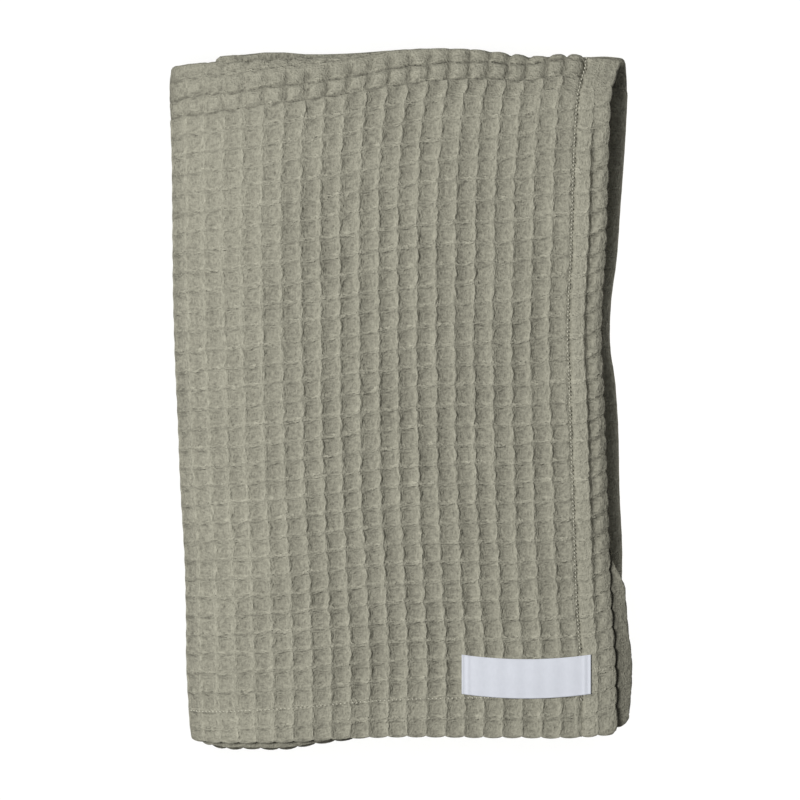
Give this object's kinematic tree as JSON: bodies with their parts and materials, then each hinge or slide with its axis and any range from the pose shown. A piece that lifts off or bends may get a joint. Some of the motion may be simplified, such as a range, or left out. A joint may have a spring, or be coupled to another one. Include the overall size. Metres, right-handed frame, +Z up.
{
  "type": "folded waffle weave cotton blanket",
  "caption": "Waffle weave cotton blanket folded into a flat packet, with a rolled top end, a broad left fold, sewn hems on the right and below, and a small blank woven label.",
  "frame": {"origin": "on the surface it lies on, under the middle of the folded packet's box", "axes": "+Y along the packet towards its rolled end, +X towards the sewn side hems, +Z up from the surface it lies on"},
  "size_m": [0.2601, 0.3919, 0.0427],
  "materials": {
    "waffle_cotton": "soft matt grey-green cotton in a deep square waffle weave",
    "label_satin": "fine cool white woven satin ribbon, bare"
  },
  "bodies": {
    "root": {"blanket_cloth": "waffle_cotton", "woven_label": "label_satin"}
  },
  "joints": []
}
